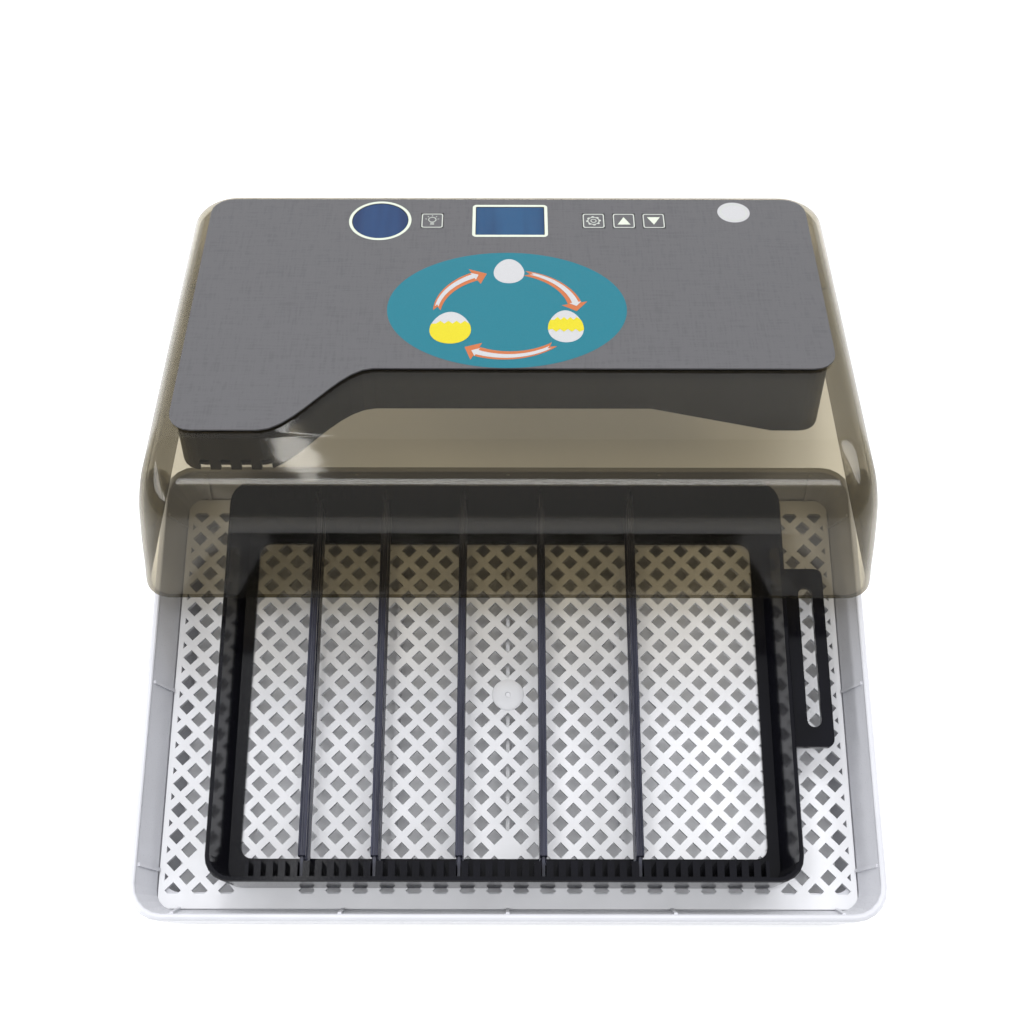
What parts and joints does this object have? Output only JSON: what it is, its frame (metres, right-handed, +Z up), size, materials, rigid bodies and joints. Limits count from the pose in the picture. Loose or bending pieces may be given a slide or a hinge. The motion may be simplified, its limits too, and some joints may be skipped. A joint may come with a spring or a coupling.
{
  "type": "egg incubator",
  "caption": "Table-top egg incubator, opened: white base with a perforated floor, black egg tray with dividers, and a smoky clear lid with controls leaning behind it.",
  "frame": {"origin": "middle of the whole object's footprint, on the surface it stands on", "axes": "+X to the user's right along the base's front, +Y from the user towards the leaning lid, +Z up"},
  "size_m": [0.38, 0.4056, 0.1525],
  "materials": {
    "white_plastic": "cool white moulded plastic, satin",
    "black_plastic": "near-black moulded plastic, satin",
    "smoky_plastic": "clear plastic tinted smoky amber, polished",
    "housing_plastic": "dark charcoal moulded plastic",
    "label_film": "grey printed film, satin",
    "blue_window": "blue clear window, gloss",
    "foot_rubber": "matt black rubber",
    "bright_steel": "bright steel",
    "circuit_board": "green circuit board",
    "lamp_lens": "clear lamp lens",
    "transformer_wrap": "yellow tape over a wound coil",
    "wire_jacket": "red insulated wire"
  },
  "bodies": {
    "base": {"base_tub": "white_plastic", "floor_grid": "white_plastic", "foot_front_left": "foot_rubber", "foot_front_right": "foot_rubber", "foot_rear_left": "foot_rubber", "foot_rear_right": "foot_rubber"},
    "tray": {"egg_tray": "black_plastic"},
    "divider_1_body": {"divider_1": "black_plastic"},
    "divider_2_body": {"divider_2": "black_plastic"},
    "divider_3_body": {"divider_3": "black_plastic"},
    "divider_4_body": {"divider_4": "black_plastic"},
    "divider_5_body": {"divider_5": "black_plastic"},
    "lid": {"lid_shell": "smoky_plastic", "label_plate": "label_film", "control_housing": "housing_plastic", "housing_cover": "housing_plastic", "cover_screw_1": "bright_steel", "cover_screw_2": "bright_steel", "cover_screw_3": "bright_steel", "cover_screw_4": "bright_steel", "cover_screw_5": "bright_steel", "cover_screw_6": "bright_steel", "lamp_window": "blue_window", "display_window": "blue_window", "control_board": "circuit_board", "switch_lamp": "black_plastic", "switch_set": "black_plastic", "switch_up": "black_plastic", "switch_down": "black_plastic", "display_module": "black_plastic", "candling_lamp": "lamp_lens", "lamp_reflector": "bright_steel", "power_board": "circuit_board", "transformer": "transformer_wrap", "fan_frame": "black_plastic", "fan_guard": "bright_steel", "fan_lead": "wire_jacket", "heater_element": "bright_steel", "temperature_probe": "bright_steel", "probe_lead": "wire_jacket", "turner_motor": "bright_steel", "power_inlet": "black_plastic", "motor_lead": "wire_jacket", "supply_lead": "wire_jacket"},
    "key_lamp_body": {"key_lamp": "label_film"},
    "key_set_body": {"key_set": "label_film"},
    "key_up_body": {"key_up": "label_film"},
    "key_down_body": {"key_down": "label_film"},
    "fan": {"fan_rotor": "black_plastic"},
    "crank": {"turner_shaft": "bright_steel", "crank_disc": "black_plastic", "crank_pin": "bright_steel"}
  },
  "joints": [
    {"name": "lid_lift", "type": "slide", "parent": "base", "child": "lid", "axis": [0, 0, 1], "range_m": [0, 0.25]},
    {"name": "tray_slide", "type": "slide", "parent": "base", "child": "tray", "axis": [1, 0, 0], "range_m": [-0.026, 0.008]},
    {"name": "divider_1_lift", "type": "slide", "parent": "tray", "child": "divider_1_body", "axis": [0, 0, 1], "range_m": [0, 0.024]},
    {"name": "divider_2_lift", "type": "slide", "parent": "tray", "child": "divider_2_body", "axis": [0, 0, 1], "range_m": [0, 0.024]},
    {"name": "divider_3_lift", "type": "slide", "parent": "tray", "child": "divider_3_body", "axis": [0, 0, 1], "range_m": [0, 0.024]},
    {"name": "divider_4_lift", "type": "slide", "parent": "tray", "child": "divider_4_body", "axis": [0, 0, 1], "range_m": [0, 0.024]},
    {"name": "divider_5_lift", "type": "slide", "parent": "tray", "child": "divider_5_body", "axis": [0, 0, 1], "range_m": [0, 0.024]},
    {"name": "key_lamp_press", "type": "slide", "parent": "lid", "child": "key_lamp_body", "axis": [0, -0.3502, -0.9367], "range_m": [0, 0.0006], "stiffness_N_per_m": 1500},
    {"name": "key_set_press", "type": "slide", "parent": "lid", "child": "key_set_body", "axis": [0, -0.3502, -0.9367], "range_m": [0, 0.0006], "stiffness_N_per_m": 1500},
    {"name": "key_up_press", "type": "slide", "parent": "lid", "child": "key_up_body", "axis": [0, -0.3502, -0.9367], "range_m": [0, 0.0006], "stiffness_N_per_m": 1500},
    {"name": "key_down_press", "type": "slide", "parent": "lid", "child": "key_down_body", "axis": [0, -0.3502, -0.9367], "range_m": [0, 0.0006], "stiffness_N_per_m": 1500},
    {"name": "fan_spin", "type": "hinge", "parent": "lid", "child": "fan", "pos_m": [-0.03, 0.11464, 0.09183], "axis": [0, 0.3502, 0.9367], "continuous": true},
    {"name": "crank_turn", "type": "hinge", "parent": "lid", "child": "crank", "pos_m": [0.1515, 0.09403, 0.07669], "axis": [0, 0.3502, 0.9367], "continuous": true}
  ]
}
